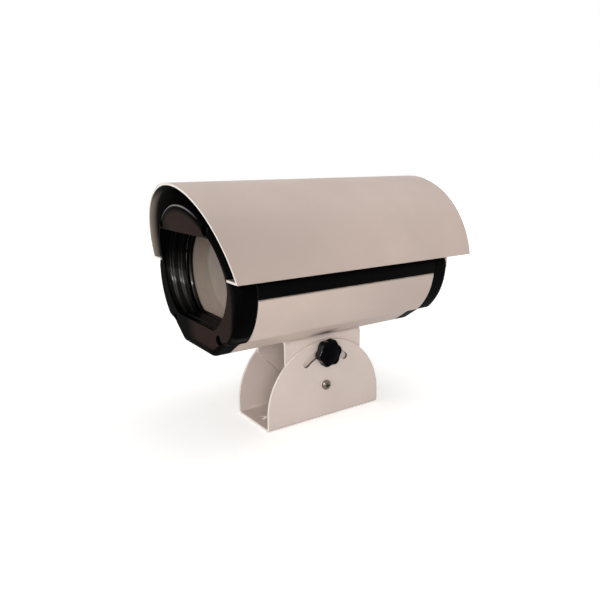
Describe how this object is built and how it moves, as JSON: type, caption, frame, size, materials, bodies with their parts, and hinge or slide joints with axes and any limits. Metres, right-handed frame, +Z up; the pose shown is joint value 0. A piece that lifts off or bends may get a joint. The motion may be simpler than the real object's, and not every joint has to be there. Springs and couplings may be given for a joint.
{
  "type": "security camera housing",
  "caption": "Outdoor housing for a box camera with sunshield, recessed window, cable glands and a tilt bracket locked by a star knob.",
  "frame": {"origin": "middle of the base plate's underside, under the tilt pivot", "axes": "+Z up, -Y towards the window, +X towards the star knob"},
  "size_m": [0.1712, 0.269, 0.2287],
  "materials": {
    "painted_body": "fine powder coat, warm grey-beige",
    "painted_shield": "fine powder coat, warm grey-beige",
    "painted_bracket": "fine powder coat, warm grey-beige",
    "black_shell": "satin black coat",
    "black_plastic": "moulded, satin",
    "knob_plastic": "moulded, fine grain",
    "gland_plastic": "moulded, satin",
    "rubber": "soft black rubber",
    "glass": "clear float glass",
    "steel": "bright zinc plate",
    "zinc_sheet": "zinc plated sheet",
    "brass": "turned brass"
  },
  "bodies": {
    "base": {"base_bracket": "painted_bracket"},
    "housing": {"tilt_bracket": "painted_bracket", "bracket_screws": "steel", "pivot_screws": "steel", "pivot_nuts": "steel", "clamp_bolt": "steel", "clamp_washers": "steel", "lower_shell": "painted_body", "upper_shell": "black_shell", "side_gaskets": "rubber", "front_gasket": "rubber", "rear_gasket": "rubber", "front_bezel": "black_plastic", "bezel_screws": "steel", "window_gasket": "rubber", "window_glass": "glass", "glass_retainer": "zinc_sheet", "retainer_screws": "steel", "rear_cap": "black_plastic", "rear_screws": "steel", "gland_bodies": "gland_plastic", "gland_seals": "rubber", "gland_nuts": "gland_plastic", "gland_locknuts": "gland_plastic", "sunshield": "painted_shield", "shield_screws": "steel", "camera_sled": "zinc_sheet", "sled_screws": "steel", "camera_screw": "steel"},
    "knob": {"lock_knob": "knob_plastic", "knob_bush": "brass"}
  },
  "joints": [
    {"name": "tilt", "type": "hinge", "parent": "base", "child": "housing", "pos_m": [0, 0, 0.0335], "axis": [1, 0, 0], "range_deg": [-42, 42]},
    {"name": "knob_turn", "type": "hinge", "parent": "housing", "child": "knob", "pos_m": [0.0345, 0, 0.067], "axis": [1, 0, 0], "continuous": true}
  ]
}
